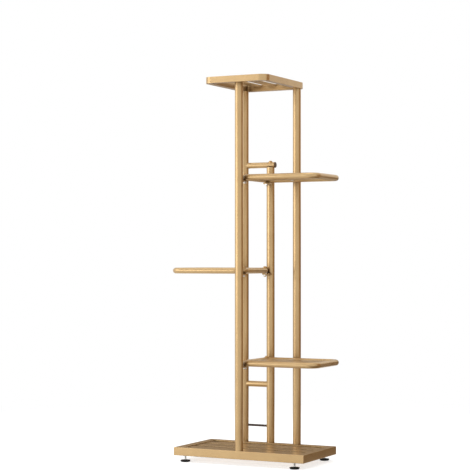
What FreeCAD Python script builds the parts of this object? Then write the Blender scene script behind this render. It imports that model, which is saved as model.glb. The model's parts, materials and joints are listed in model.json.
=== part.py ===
import FreeCAD, Part
import math
import os

# Tiered plant stand: a slatted base tray on four levelling feet, one front post and three rear
# posts, three side shelves on bent tube loops and a rectangular top shelf.
#
# Millimetres, +Z up. The origin is on the floor under the middle of the base, +X runs along the
# long side of the base to the right and -Y is the front.

V = FreeCAD.Vector
UP = V(0, 0, 1)
ALONG_X = V(1, 0, 0)
ALONG_Y = V(0, 1, 0)

# ---------------------------------------------------------------- driving dimensions

# base tray
BASE_LENGTH = 435.0
BASE_DEPTH = 244.0
RAIL_HEIGHT = 25.0
RAIL_WIDTH = 25.0
RAIL_WALL = 1.0
RAIL_EDGE_RADIUS = 1.2
FOOT_HEIGHT = 19.0            # floor to the underside of the rails
BASE_SLAT_COUNT = 3
BASE_SLAT_GAP = 14.0          # between slats, and beside the rails
BASE_SLAT_THICKNESS = 10.0
BASE_SLAT_RECESS = 3.0        # slat tops below the rail tops

# levelling feet
FOOT_INSET = 34.0             # foot axis from the outer end of the base
PAD_DIAMETER = 31.0
PAD_THICKNESS = 8.0
PAD_NECK_DIAMETER = 12.0
STEM_DIAMETER = 6.0
STEM_COLLAR_DIAMETER = 11.0
STEM_COLLAR_THICKNESS = 2.0
STEM_TOP_ABOVE_RAIL_BOTTOM = 13.5
BUSH_DIAMETER = 11.0
BUSH_LENGTH = 9.0
BUSH_FLANGE_DIAMETER = 16.0
BUSH_FLANGE_THICKNESS = 1.2
RUNNING_CLEARANCE = 0.05      # stem in bush, collar in pad

# posts
POST_DIAMETER = 25.0
POST_WALL = 1.0
REAR_POST_SPACING = 90.5      # side posts from the middle post
INSERT_LENGTH = 12.0

# side shelves
SHELF_TUBE_DIAMETER = 18.0
SHELF_TUBE_WALL = 1.0
SHELF_LENGTH = 239.5          # inner tube axis to outer tube axis
SHELF_CORNER_RADIUS = 25.0    # on the tube axis
SHELF_SLAT_COUNT = 3
SHELF_SLAT_GAP = 14.0         # between slats, and beside the tubes
SHELF_SLAT_THICKNESS = 8.0
SHELF_SLAT_TOP = 5.0          # slat top above the tube axis
SLAT_WALL = 0.8
LOWER_SHELF_HEIGHT = 305.0    # tube axis above the floor
LEFT_SHELF_HEIGHT = 584.0
UPPER_SHELF_HEIGHT = 866.0

# top shelf
TOP_SCREW_EDGE = 4.5          # rear screw axes from the inner faces of the side rails
TOP_POST_CLEARANCE = 0.3      # front rail to the front post, which rises behind it
TOP_RAIL_HEIGHT = 19.0
TOP_RAIL_WIDTH = 19.0
TOP_RAIL_WALL = 1.0
TOP_CORNER_RADIUS = 25.0
TOP_UNDERSIDE = 1149.0        # above the floor
TOP_SLAT_COUNT = 3
TOP_SLAT_GAP = 19.0           # between slats, and beside the side rails
TOP_SLAT_THICKNESS = 4.0
TOP_SLAT_RECESS = 1.0

# rungs between the rear left and the rear middle post
RUNG_DIAMETER = 18.0
RUNG_WALL = 1.0
UPPER_RUNG_HEIGHT = 914.0
LOWER_RUNG_HEIGHT = 227.0
RUNG_OVERHANG = 3.0           # upper rung past the middle post
TIE_ROD_DIAMETER = 7.0
TIE_ROD_HEIGHT = 97.0
POST_SADDLE_DEPTH = 2.0       # how far the middle post cups the upper rung
PLUG_FLANGE = 2.0
PLUG_LENGTH = 8.0

# fasteners
BOLT_DIAMETER = 6.0
BOLT_HOLE_CLEARANCE = 0.2
THREAD_CLEARANCE = 0.05
DOME_DIAMETER = 10.5
DOME_HEIGHT = 3.3
LOW_HEAD_DIAMETER = 9.0
LOW_HEAD_HEIGHT = 2.0
CAP_HEAD_DIAMETER = 10.0
CAP_HEAD_HEIGHT = 5.0
DRIVER_HOLE_DIAMETER = 14.0
NUT_ACROSS_FLATS = 10.0
NUT_HEIGHT = 5.0
BOLT_END = 2.0                # bolt past its nut
WASHER_DIAMETER = 14.0
WASHER_TOP = 1.0              # washer above the crown of the tube it sits on
EAR_THICKNESS = 4.0
EAR_WIDTH = 18.0
EAR_BOLT_DEPTH = 22.0         # ear bolt from the inner face of its post

# ---------------------------------------------------------------- derived places

POST_R = POST_DIAMETER / 2
RAIL_BOTTOM = FOOT_HEIGHT
RAIL_TOP = RAIL_BOTTOM + RAIL_HEIGHT
POST_Y = BASE_DEPTH / 2 - POST_R
POST_FACE_Y = POST_Y - POST_R
FRONT_POST = (0.0, -POST_Y)
REAR_LEFT = (-REAR_POST_SPACING, POST_Y)
REAR_MIDDLE = (0.0, POST_Y)
REAR_RIGHT = (REAR_POST_SPACING, POST_Y)
TUBE_R = SHELF_TUBE_DIAMETER / 2
SHELF_HALF_DEPTH = POST_FACE_Y - TUBE_R
TOP_HALF_DEPTH = POST_Y + POST_R + TOP_POST_CLEARANCE + TOP_RAIL_WIDTH
TOP_HALF_LENGTH = REAR_POST_SPACING + TOP_RAIL_WIDTH - TOP_SCREW_EDGE
TOP_SLAT_TOP = TOP_UNDERSIDE + TOP_RAIL_HEIGHT - TOP_SLAT_RECESS
TOP_SLAT_UNDERSIDE = TOP_SLAT_TOP - TOP_SLAT_THICKNESS
RUNG_R = RUNG_DIAMETER / 2
MIDDLE_POST_TOP = UPPER_RUNG_HEIGHT - RUNG_R + POST_SADDLE_DEPTH
FOOT_X = BASE_LENGTH / 2 - FOOT_INSET
FOOT_Y = BASE_DEPTH / 2 - RAIL_WIDTH / 2
FEET = {
    "front_left": (-FOOT_X, -FOOT_Y),
    "front_right": (FOOT_X, -FOOT_Y),
    "rear_left": (-FOOT_X, FOOT_Y),
    "rear_right": (FOOT_X, FOOT_Y),
}
# name: (side of the posts, height of the tube axis, rear post that it is bolted to)
SHELVES = {
    "shelf_left": (-1, LEFT_SHELF_HEIGHT, REAR_LEFT),
    "shelf_lower_right": (1, LOWER_SHELF_HEIGHT, REAR_RIGHT),
    "shelf_upper_right": (1, UPPER_SHELF_HEIGHT, REAR_RIGHT),
}
BOLT_R = BOLT_DIAMETER / 2
BOLT_HOLE_R = BOLT_R + BOLT_HOLE_CLEARANCE
INSERT_R = POST_R - POST_WALL


# ---------------------------------------------------------------- shape helpers

def cylinder(radius, start, length, direction=UP):
    """A solid cylinder from a start point along a direction."""
    return Part.makeCylinder(radius, length, V(*start), direction)


def box(low, high):
    """A solid box between two corners."""
    return Part.makeBox(high[0] - low[0], high[1] - low[1], high[2] - low[2], V(*low))


def rounded_rectangle(x0, x1, y0, y1, radius, z=0.0):
    """A closed wire in a level plane: four sides joined by quarter circles."""
    edges = []
    corners = [(x1, y1, 0), (x0, y1, 90), (x0, y0, 180), (x1, y0, 270)]
    arcs = []
    for cx, cy, start in corners:
        mx = cx - radius if cx == x1 else cx + radius
        my = cy - radius if cy == y1 else cy + radius
        at = [
            V(mx + radius * math.cos(math.radians(a)), my + radius * math.sin(math.radians(a)), z)
            for a in (start, start + 45, start + 90)
        ]
        arcs.append(at)
    for i, at in enumerate(arcs):
        edges.append(Part.Arc(*at).toShape())
        follow = arcs[(i + 1) % 4][0]
        if at[2].distanceToPoint(follow) > 1e-6:
            edges.append(Part.LineSegment(at[2], follow).toShape())
    return Part.Wire(edges)


def bar(width, height, length, edge_radius):
    """A solid bar along X from the origin, its section centred on the X axis."""
    wire = rounded_rectangle(-width / 2, width / 2, -height / 2, height / 2, edge_radius)
    solid = Part.Face(wire).extrude(V(0, 0, length))
    solid.rotate(V(0, 0, 0), ALONG_Y, 90)
    solid.rotate(V(0, 0, 0), ALONG_X, 90)
    return solid


def box_tube(width, height, length, wall, edge_radius):
    """A rectangular tube along X from the origin: width along Y, height along Z."""
    outer = bar(width, height, length, edge_radius)
    inner = bar(width - 2 * wall, height - 2 * wall, length, max(edge_radius - wall, 0.2))
    return outer.cut(inner)


def moved(shape, x=0.0, y=0.0, z=0.0):
    """A copy of a shape at another place."""
    out = shape.copy()
    out.translate(V(x, y, z))
    return out


def turned(shape, degrees, axis=UP):
    """A copy of a shape turned about an axis through the origin."""
    out = shape.copy()
    out.rotate(V(0, 0, 0), axis, degrees)
    return out


def revolved(profile):
    """A solid of revolution about Z from (radius, height) points."""
    points = [V(r, 0, z) for r, z in profile]
    face = Part.Face(Part.makePolygon(points + points[:1]))
    return face.revolve(V(0, 0, 0), UP, 360)


def tube(radius, wall, start, length, direction=UP):
    """A round tube with open ends."""
    outer = cylinder(radius, start, length, direction)
    return outer.cut(cylinder(radius - wall, start, length, direction))


def slat_places(count, pitch):
    """The centres of evenly spaced slats about the middle."""
    return [(i - (count - 1) / 2) * pitch for i in range(count)]


def slat_width(clear_width, count, gap):
    """The width of slats that fill a clear width with equal gaps between and beside them."""
    return (clear_width - (count + 1) * gap) / count


def loop_lengths(x0, x1, half_depth, corner, radius, z):
    """The eight lengths of a closed loop of round bar: four straight ones, then four bends."""
    pieces = []
    for side in (-1, 1):
        start = (x0 + corner, side * half_depth, z)
        pieces.append(cylinder(radius, start, x1 - x0 - 2 * corner, ALONG_X))
    for x in (x0, x1):
        start = (x, -half_depth + corner, z)
        pieces.append(cylinder(radius, start, 2 * (half_depth - corner), ALONG_Y))
    bends = [
        (x1 - corner, half_depth - corner, 0),
        (x0 + corner, half_depth - corner, 90),
        (x0 + corner, -half_depth + corner, 180),
        (x1 - corner, -half_depth + corner, 270),
    ]
    for cx, cy, start in bends:
        ring = Part.Wire(Part.Circle(V(corner, 0, 0), ALONG_Y, radius).toShape())
        bend = Part.Face(ring).revolve(V(0, 0, 0), UP, 90)
        pieces.append(moved(turned(bend, start), cx, cy, z))
    return pieces


def dome_head(diameter, height):
    """A round screw head on the level z = 0."""
    sphere_r = (diameter ** 2 / 4 + height ** 2) / (2 * height)
    ball = Part.makeSphere(sphere_r, V(0, 0, height - sphere_r))
    return ball.common(cylinder(diameter / 2, (0, 0, 0), height))


def dome_bolt(length):
    """A bolt along -Z: dome head on z = 0, shank below."""
    return dome_head(DOME_DIAMETER, DOME_HEIGHT).fuse(cylinder(BOLT_R, (0, 0, -length), length))


def hex_nut(z):
    """A plain nut with its underside at z, clear of its bolt by the thread clearance."""
    r = NUT_ACROSS_FLATS / math.sqrt(3)
    points = [
        V(r * math.cos(math.radians(60 * i)), r * math.sin(math.radians(60 * i)), z)
        for i in range(7)
    ]
    blank = Part.Face(Part.makePolygon(points)).extrude(V(0, 0, NUT_HEIGHT))
    chamfer = Part.makeCone(r + NUT_HEIGHT, r - 0.6, NUT_HEIGHT + 0.6, V(0, 0, z))
    blank = blank.common(chamfer)
    return blank.cut(cylinder(BOLT_R + THREAD_CLEARANCE, (0, 0, z - 1), NUT_HEIGHT + 2))


def saddle_washer(seat, seat_r):
    """A washer on the crown of a tube of radius seat_r in the plane z = 0, shaped to the tube."""
    blank = cylinder(WASHER_DIAMETER / 2, (0, 0, seat_r / 2), seat_r / 2 + WASHER_TOP)
    blank = blank.cut(cylinder(BOLT_HOLE_R, (0, 0, 0), seat_r + 5))
    return blank.cut(seat)


# ---------------------------------------------------------------- nodes

nodes = {}


def add(name, *solids):
    """Keeps the solids of one node."""
    nodes.setdefault(name, []).extend(solids)


# base rails: box tubes mitred at the corners
def base_rail(length, name, angle, offset, holes):
    """One mitred rail, built along X with its outer face at -Y, then turned into place."""
    rail = box_tube(RAIL_WIDTH, RAIL_HEIGHT, length, RAIL_WALL, RAIL_EDGE_RADIUS)
    rail = moved(rail, -length / 2, -offset + RAIL_WIDTH / 2, RAIL_BOTTOM + RAIL_HEIGHT / 2)
    outline = [
        V(-length / 2, -offset, 0),
        V(length / 2, -offset, 0),
        V(length / 2 - RAIL_WIDTH, -offset + RAIL_WIDTH, 0),
        V(-length / 2 + RAIL_WIDTH, -offset + RAIL_WIDTH, 0),
    ]
    trim = Part.Face(Part.makePolygon(outline + outline[:1])).extrude(V(0, 0, RAIL_TOP + 10))
    rail = turned(rail.common(trim), angle)
    for hole in holes:
        rail = rail.cut(hole)
    add(name, rail)


def rail_holes(post_places, foot_places):
    """Bolt and driver holes under the posts, and bush holes at the feet."""
    holes = []
    for x, y in post_places:
        holes.append(cylinder(BOLT_HOLE_R, (x, y, RAIL_TOP - 2 * RAIL_WALL), 4 * RAIL_WALL))
        holes.append(cylinder(DRIVER_HOLE_DIAMETER / 2, (x, y, RAIL_BOTTOM - 1), RAIL_WALL + 2))
    for x, y in foot_places:
        holes.append(cylinder(BUSH_DIAMETER / 2, (x, y, RAIL_BOTTOM - 1), RAIL_WALL + 2))
    return holes


front_feet = [FEET["front_left"], FEET["front_right"]]
rear_feet = [FEET["rear_left"], FEET["rear_right"]]
rear_posts = [REAR_LEFT, REAR_MIDDLE, REAR_RIGHT]
base_rail(BASE_LENGTH, "base_rail_front", 0, BASE_DEPTH / 2, rail_holes([FRONT_POST], front_feet))
base_rail(BASE_LENGTH, "base_rail_rear", 180, BASE_DEPTH / 2, rail_holes(rear_posts, rear_feet))
base_rail(BASE_DEPTH, "base_rail_right", 90, BASE_LENGTH / 2, [])
base_rail(BASE_DEPTH, "base_rail_left", -90, BASE_LENGTH / 2, [])

# base slats: flat tubes between the end rails, sharing the depth between equal gaps
base_slat_length = BASE_LENGTH - 2 * RAIL_WIDTH
base_slat_width = slat_width(BASE_DEPTH - 2 * RAIL_WIDTH, BASE_SLAT_COUNT, BASE_SLAT_GAP)
base_slat_z = RAIL_TOP - BASE_SLAT_RECESS - BASE_SLAT_THICKNESS / 2
base_slat = box_tube(base_slat_width, BASE_SLAT_THICKNESS, base_slat_length, SLAT_WALL, 1.2)
for y in slat_places(BASE_SLAT_COUNT, base_slat_width + BASE_SLAT_GAP):
    add("base_slats", moved(base_slat, -base_slat_length / 2, y, base_slat_z))

# levelling feet: flanged bush in the rail, stem with a captive collar, moulded pad
stem_r = STEM_DIAMETER / 2
collar_r = STEM_COLLAR_DIAMETER / 2
collar_low = PAD_THICKNESS / 2 - STEM_COLLAR_THICKNESS / 2
collar_high = PAD_THICKNESS / 2 + STEM_COLLAR_THICKNESS / 2
stem_top = RAIL_BOTTOM + STEM_TOP_ABOVE_RAIL_BOTTOM
gap = RUNNING_CLEARANCE
pad_r = PAD_DIAMETER / 2
neck_r = PAD_NECK_DIAMETER / 2

bush = revolved([
    (stem_r + gap, RAIL_BOTTOM - BUSH_FLANGE_THICKNESS),
    (BUSH_FLANGE_DIAMETER / 2, RAIL_BOTTOM - BUSH_FLANGE_THICKNESS),
    (BUSH_FLANGE_DIAMETER / 2, RAIL_BOTTOM),
    (BUSH_DIAMETER / 2, RAIL_BOTTOM),
    (BUSH_DIAMETER / 2, RAIL_BOTTOM + BUSH_LENGTH),
    (stem_r + gap, RAIL_BOTTOM + BUSH_LENGTH),
])
stem = revolved([
    (0, collar_low),
    (collar_r, collar_low),
    (collar_r, collar_high),
    (stem_r, collar_high),
    (stem_r, stem_top - 1.0),
    (stem_r - 1.0, stem_top),
    (0, stem_top),
])
pad = revolved([
    (0, 0),
    (pad_r - 3.2, 0),
    (pad_r - 1.6, 1.4),
    (pad_r, PAD_THICKNESS - 2.6),
    (pad_r, PAD_THICKNESS - 1.6),
    (pad_r - 1.0, PAD_THICKNESS - 0.8),
    (neck_r + 1.0, PAD_THICKNESS - 0.2),
    (neck_r, PAD_THICKNESS + 0.8),
    (stem_r + gap, PAD_THICKNESS + 0.8),
    (stem_r + gap, collar_high + gap),
    (collar_r + gap, collar_high + gap),
    (collar_r + gap, collar_low - gap),
    (0, collar_low - gap),
])
for corner, (x, y) in FEET.items():
    add("foot_bushes", moved(bush, x, y))
    add("foot_stem_" + corner, moved(stem, x, y))
    add("foot_pad_" + corner, moved(pad, x, y))

# posts with a threaded insert at each bolted end
def post(place, low, high):
    """A plain round post."""
    return tube(POST_R, POST_WALL, (place[0], place[1], low), high - low)


def insert(place, low):
    """A threaded plug that fills the bore of a post."""
    plug = cylinder(INSERT_R, (place[0], place[1], low), INSERT_LENGTH)
    return plug.cut(cylinder(BOLT_R + THREAD_CLEARANCE, (place[0], place[1], low - 1), INSERT_LENGTH + 2))


upper_rung_body = cylinder(RUNG_R, (-BASE_LENGTH, POST_Y, UPPER_RUNG_HEIGHT), 2 * BASE_LENGTH, ALONG_X)
front_post = post(FRONT_POST, RAIL_TOP, TOP_SLAT_UNDERSIDE)
rear_left = post(REAR_LEFT, RAIL_TOP, TOP_UNDERSIDE)
rear_right = post(REAR_RIGHT, RAIL_TOP, TOP_UNDERSIDE)
rear_middle = post(REAR_MIDDLE, RAIL_TOP, MIDDLE_POST_TOP).cut(upper_rung_body)

for place in (FRONT_POST, REAR_LEFT, REAR_MIDDLE, REAR_RIGHT):
    add("post_foot_inserts", insert(place, RAIL_TOP))
add("post_top_inserts", insert(FRONT_POST, TOP_SLAT_UNDERSIDE - INSERT_LENGTH))
add("post_top_inserts", insert(REAR_LEFT, TOP_UNDERSIDE - INSERT_LENGTH))
add("post_top_inserts", insert(REAR_RIGHT, TOP_UNDERSIDE - INSERT_LENGTH))
add("post_top_inserts", insert(REAR_MIDDLE, UPPER_RUNG_HEIGHT - RUNG_R - INSERT_LENGTH))

# bolts from under the rails into the foot inserts
for x, y in (FRONT_POST, REAR_LEFT, REAR_MIDDLE, REAR_RIGHT):
    seat = RAIL_TOP - RAIL_WALL
    head = cylinder(CAP_HEAD_DIAMETER / 2, (x, y, seat - CAP_HEAD_HEIGHT), CAP_HEAD_HEIGHT)
    socket = cylinder(2.5, (x, y, seat - CAP_HEAD_HEIGHT), 3.0)
    shank = cylinder(BOLT_R, (x, y, seat - 0.5), RAIL_WALL + 0.5 + INSERT_LENGTH - 1.0)
    add("post_foot_bolts", head.fuse(shank).cut(socket))

# rungs, shaped to the posts they are welded to
rung_start = -REAR_POST_SPACING
left_body = cylinder(POST_R, (REAR_LEFT[0], REAR_LEFT[1], 0), TOP_UNDERSIDE)
middle_body = cylinder(POST_R, (0, POST_Y, 0), MIDDLE_POST_TOP)
rung_end = POST_R + RUNG_OVERHANG
upper_rung = tube(RUNG_R, RUNG_WALL, (rung_start, POST_Y, UPPER_RUNG_HEIGHT), rung_end - rung_start, ALONG_X)
upper_rung = upper_rung.cut(left_body)
upper_rung = upper_rung.cut(cylinder(BOLT_HOLE_R, (0, POST_Y, UPPER_RUNG_HEIGHT - 20), 40))
add("rung_upper", upper_rung)
lower_rung = tube(RUNG_R, RUNG_WALL, (rung_start, POST_Y, LOWER_RUNG_HEIGHT), -rung_start, ALONG_X)
add("rung_lower", lower_rung.cut(left_body).cut(middle_body))
tie_rod = cylinder(TIE_ROD_DIAMETER / 2, (rung_start, POST_Y, TIE_ROD_HEIGHT), -rung_start, ALONG_X)
add("rung_tie_rod", tie_rod.cut(left_body).cut(middle_body))

plug_flange = cylinder(RUNG_R, (rung_end, POST_Y, UPPER_RUNG_HEIGHT), PLUG_FLANGE, ALONG_X)
plug_edge = plug_flange.Edges
plug_flange = plug_flange.makeFillet(
    PLUG_FLANGE * 0.7,
    [e for e in plug_edge if abs(e.BoundBox.XMin - rung_end - PLUG_FLANGE) < 0.01
     and abs(e.BoundBox.XMax - rung_end - PLUG_FLANGE) < 0.01],
)
plug_body = cylinder(
    RUNG_R - RUNG_WALL, (rung_end - PLUG_LENGTH, POST_Y, UPPER_RUNG_HEIGHT), PLUG_LENGTH, ALONG_X
)
rung_bolt_room = cylinder(BOLT_HOLE_R, (0, POST_Y, UPPER_RUNG_HEIGHT - 20), 40)
add("rung_end_plug", plug_flange.fuse(plug_body).cut(rung_bolt_room))

# side shelves
loop_end = SHELF_LENGTH
shelf_slat_width = slat_width(2 * (SHELF_HALF_DEPTH - TUBE_R), SHELF_SLAT_COUNT, SHELF_SLAT_GAP)
ear_y = POST_FACE_Y - EAR_BOLT_DEPTH
bend_y = SHELF_HALF_DEPTH - SHELF_CORNER_RADIUS
if ear_y > bend_y:
    ear_x = SHELF_CORNER_RADIUS - math.sqrt(SHELF_CORNER_RADIUS ** 2 - (ear_y - bend_y) ** 2)
else:
    ear_x = 0.0

post_holes = {"front": [], "left": [], "right": []}
for name, (side, height, rear_post) in SHELVES.items():
    x0, x1 = (0.0, loop_end) if side > 0 else (-loop_end, 0.0)
    outer = loop_lengths(x0, x1, SHELF_HALF_DEPTH, SHELF_CORNER_RADIUS, TUBE_R, height)
    inner_r = TUBE_R - SHELF_TUBE_WALL
    inner = loop_lengths(x0, x1, SHELF_HALF_DEPTH, SHELF_CORNER_RADIUS, inner_r, height)
    body = outer[0].multiFuse(outer[1:]).removeSplitter()
    bolt_holes = []
    # ear plates under the inner corners, each with its bolt, washer and nut
    for sign in (-1, 1):
        hole_x = side * ear_x
        hole_y = sign * ear_y
        bolt_holes.append(cylinder(BOLT_HOLE_R, (hole_x, hole_y, height - 20), 40))
        ear_top = height - TUBE_R
        ear_low = ear_top - EAR_THICKNESS
        tip = cylinder(EAR_WIDTH / 2, (hole_x, hole_y, ear_low), EAR_THICKNESS)
        near, far = sorted((sign * ear_y, sign * POST_Y))
        plate = box((-EAR_WIDTH / 2, near, ear_low), (EAR_WIDTH / 2, far, ear_top))
        ear = plate.fuse(tip).removeSplitter()
        ear = ear.cut(cylinder(POST_R, (0, sign * POST_Y, 0), TOP_UNDERSIDE))
        ear = ear.cut(cylinder(BOLT_HOLE_R, (hole_x, hole_y, ear_low - 1), EAR_THICKNESS + 2))
        add(name + "_ears", ear)
        seat_body = moved(body, -hole_x, -hole_y, -height)
        washer = moved(saddle_washer(seat_body, TUBE_R), hole_x, hole_y, height)
        add("shelf_washers", washer)
        seat = height + TUBE_R + WASHER_TOP
        nut_low = ear_low - NUT_HEIGHT
        add("shelf_bolts", moved(dome_bolt(seat - nut_low + BOLT_END), hole_x, hole_y, seat))
        add("shelf_nuts", moved(hex_nut(nut_low), hole_x, hole_y))
    # one bolt from behind the rear post into the rear tube
    back_x, back_y = rear_post
    grip = 2 * POST_R + 2 * TUBE_R
    bolt_holes.append(cylinder(BOLT_HOLE_R, (back_x, 0, height), POST_Y + 30, ALONG_Y))
    bolt = turned(dome_bolt(grip + NUT_HEIGHT + BOLT_END), -90, ALONG_X)
    add("shelf_rear_bolts", moved(bolt, back_x, POST_Y + POST_R, height))
    nut = turned(hex_nut(0), -90, ALONG_X)
    add("shelf_rear_nuts", moved(nut, back_x, POST_FACE_Y - 2 * TUBE_R - NUT_HEIGHT, height))
    crossing = cylinder(BOLT_HOLE_R, (back_x, POST_FACE_Y - 1, height), 2 * POST_R + 2, ALONG_Y)
    if side < 0:
        rear_left = rear_left.cut(crossing)
    else:
        rear_right = rear_right.cut(crossing)
    for bar_length, bore in zip(outer, inner):
        add(name + "_frame", bar_length.cut([bore] + bolt_holes).Solids[0])
    slat = box_tube(shelf_slat_width, SHELF_SLAT_THICKNESS, x1 - x0, SLAT_WALL, 1.0)
    slat_z = height + SHELF_SLAT_TOP - SHELF_SLAT_THICKNESS / 2
    for y in slat_places(SHELF_SLAT_COUNT, shelf_slat_width + SHELF_SLAT_GAP):
        add(name + "_slats", moved(slat, x0, y, slat_z).cut(body))

add("post_front", front_post)
add("post_rear_left", rear_left)
add("post_rear_middle", rear_middle)
add("post_rear_right", rear_right)

# bolt on top of the upper rung, down into the middle post
rung_axis_body = moved(upper_rung_body, 0, -POST_Y, -UPPER_RUNG_HEIGHT)
add("shelf_washers", moved(saddle_washer(rung_axis_body, RUNG_R), 0, POST_Y, UPPER_RUNG_HEIGHT))
rung_bolt = dome_bolt(WASHER_TOP + RUNG_DIAMETER + INSERT_LENGTH - 1.0)
add("rung_bolt", moved(rung_bolt, 0, POST_Y, UPPER_RUNG_HEIGHT + RUNG_R + WASHER_TOP))

# top shelf: one bent box tube with slats from front to rear
def top_ring(inset, z0, z1):
    """The plan of the top rail, shrunk from both sides by an inset."""
    outer = rounded_rectangle(
        -TOP_HALF_LENGTH + inset, TOP_HALF_LENGTH - inset,
        -TOP_HALF_DEPTH + inset, TOP_HALF_DEPTH - inset, TOP_CORNER_RADIUS - inset, z0)
    reach = TOP_RAIL_WIDTH - inset
    inner = rounded_rectangle(
        -TOP_HALF_LENGTH + reach, TOP_HALF_LENGTH - reach,
        -TOP_HALF_DEPTH + reach, TOP_HALF_DEPTH - reach, TOP_CORNER_RADIUS - reach, z0)
    height = V(0, 0, z1 - z0)
    return Part.Face(outer).extrude(height).cut(Part.Face(inner).extrude(height))


top_rim = TOP_UNDERSIDE + TOP_RAIL_HEIGHT
top_frame = top_ring(0.0, TOP_UNDERSIDE, top_rim)
top_frame = top_frame.cut(top_ring(TOP_RAIL_WALL, TOP_UNDERSIDE + TOP_RAIL_WALL, top_rim - TOP_RAIL_WALL))
top_slat_length = 2 * (TOP_HALF_DEPTH - TOP_RAIL_WIDTH)
top_slat_width = slat_width(2 * (TOP_HALF_LENGTH - TOP_RAIL_WIDTH), TOP_SLAT_COUNT, TOP_SLAT_GAP)
top_slat = turned(bar(top_slat_width, TOP_SLAT_THICKNESS, top_slat_length, 0.6), 90)
top_slat_z = TOP_SLAT_TOP - TOP_SLAT_THICKNESS / 2
front_hole = cylinder(BOLT_HOLE_R, (FRONT_POST[0], FRONT_POST[1], TOP_SLAT_UNDERSIDE - 5), 30)
for x in slat_places(TOP_SLAT_COUNT, top_slat_width + TOP_SLAT_GAP):
    slat = moved(top_slat, x, -top_slat_length / 2, top_slat_z)
    add("top_shelf_slats", slat.cut(front_hole))
for x, y in (REAR_LEFT, REAR_RIGHT):
    top_frame = top_frame.cut(cylinder(BOLT_HOLE_R, (x, y, TOP_UNDERSIDE - 5), 40))
add("top_shelf_frame", top_frame)

top_seats = [(FRONT_POST, TOP_SLAT_TOP, TOP_SLAT_UNDERSIDE)]
top_seats += [(p, top_rim, TOP_UNDERSIDE) for p in (REAR_LEFT, REAR_RIGHT)]
for (x, y), seat, under in top_seats:
    head = moved(dome_head(LOW_HEAD_DIAMETER, LOW_HEAD_HEIGHT), x, y, seat)
    low = under - INSERT_LENGTH + 1.0
    add("top_shelf_screws", head.fuse(cylinder(BOLT_R, (x, y, low), seat - low)))

# ---------------------------------------------------------------- write the files

os.makedirs("parts", exist_ok=True)
for name, solids in nodes.items():
    shape = solids[0] if len(solids) == 1 else Part.Compound(solids)
    if not shape.isValid():
        raise ValueError("not valid: " + name)
    shape.exportStep("parts/" + name + ".step")
    print(name, len(shape.Solids), round(sum(s.Volume for s in shape.Solids)))
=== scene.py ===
"""Tiered plant stand: finishes, threads, screws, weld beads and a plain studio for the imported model."""

import json
import logging
import math
from dataclasses import dataclass, field
from enum import Enum
from typing import Any, Sequence

import bpy
from mathutils import Matrix, Vector

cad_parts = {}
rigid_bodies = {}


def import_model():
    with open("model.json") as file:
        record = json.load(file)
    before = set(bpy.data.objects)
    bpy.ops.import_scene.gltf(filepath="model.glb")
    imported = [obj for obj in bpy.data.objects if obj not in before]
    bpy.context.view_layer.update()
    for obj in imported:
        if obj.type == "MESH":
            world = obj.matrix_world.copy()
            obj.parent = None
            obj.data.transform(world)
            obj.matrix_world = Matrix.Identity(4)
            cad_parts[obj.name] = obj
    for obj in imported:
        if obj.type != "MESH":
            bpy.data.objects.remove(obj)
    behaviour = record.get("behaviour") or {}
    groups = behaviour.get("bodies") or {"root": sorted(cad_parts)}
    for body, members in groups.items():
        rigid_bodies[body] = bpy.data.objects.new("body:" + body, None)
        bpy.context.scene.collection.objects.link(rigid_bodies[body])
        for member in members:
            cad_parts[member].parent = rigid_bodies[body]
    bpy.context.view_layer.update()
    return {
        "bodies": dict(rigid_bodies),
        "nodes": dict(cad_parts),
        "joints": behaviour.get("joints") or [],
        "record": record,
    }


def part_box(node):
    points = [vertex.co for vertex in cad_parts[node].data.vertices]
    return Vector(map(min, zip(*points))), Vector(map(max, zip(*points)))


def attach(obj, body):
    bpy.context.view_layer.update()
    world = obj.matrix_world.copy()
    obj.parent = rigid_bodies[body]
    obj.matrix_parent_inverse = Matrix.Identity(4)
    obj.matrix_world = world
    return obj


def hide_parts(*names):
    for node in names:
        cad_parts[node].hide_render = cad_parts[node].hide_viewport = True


LOG = logging.getLogger("plant_stand")
MM = 0.001
Point = tuple[float, float, float]
Span = tuple[float, float]
Step = tuple[float, float]
# what the input of a node can take: a link, a colour or a number
Feed = bpy.types.NodeSocket | Point | float

WHITE: Point = (1.0, 1.0, 1.0)


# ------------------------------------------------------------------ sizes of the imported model

# places are those of the axes of posts and bars, and heights of the tops of slats and rail
POST_RADIUS = 12.5 * MM
POST_Y = 109.5 * MM
SIDE_POST_X = 90.5 * MM
RUNG_RADIUS = 9.0 * MM
TIE_ROD_RADIUS = 3.5 * MM
UPPER_RUNG_HEIGHT = 914.0 * MM
LOWER_RUNG_HEIGHT = 227.0 * MM
TIE_ROD_HEIGHT = 97.0 * MM
TOP_SLAT_HEIGHT = 1167.0 * MM
TOP_RAIL_HEIGHT = 1168.0 * MM


class Corner(Enum):
    """The four corners of the base, as the feet are named."""

    FRONT_LEFT = "front_left"
    FRONT_RIGHT = "front_right"
    REAR_LEFT = "rear_left"
    REAR_RIGHT = "rear_right"


class Facing(Enum):
    """Which way a screw head faces."""

    UP = "up"
    REAR = "rear"


@dataclass(frozen=True)
class Shelf:
    """A side shelf.

    Attributes:
        name: Its name, as in those of its nodes.
        side: 1 where it stands to the right of the middle, -1 to the left.
        height: Height of the axis of its tube.
    """

    name: str
    side: int
    height: float


SHELVES = (
    Shelf("left", -1, 584.0 * MM),
    Shelf("lower_right", 1, 305.0 * MM),
    Shelf("upper_right", 1, 866.0 * MM),
)


# ------------------------------------------------------------------ finishes

PATCH_OCTAVES = 3.0
GRAIN_OCTAVES = 2.0
# the middle stretch of a noise, over which a colour or a roughness runs from one end to the other
PATCH_SPREAD = (0.35, 0.65)
GRAIN_SPREAD = (0.3, 0.7)
# depth of the grain, as a part of its size
GRAIN_DEPTH = 0.25

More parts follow.
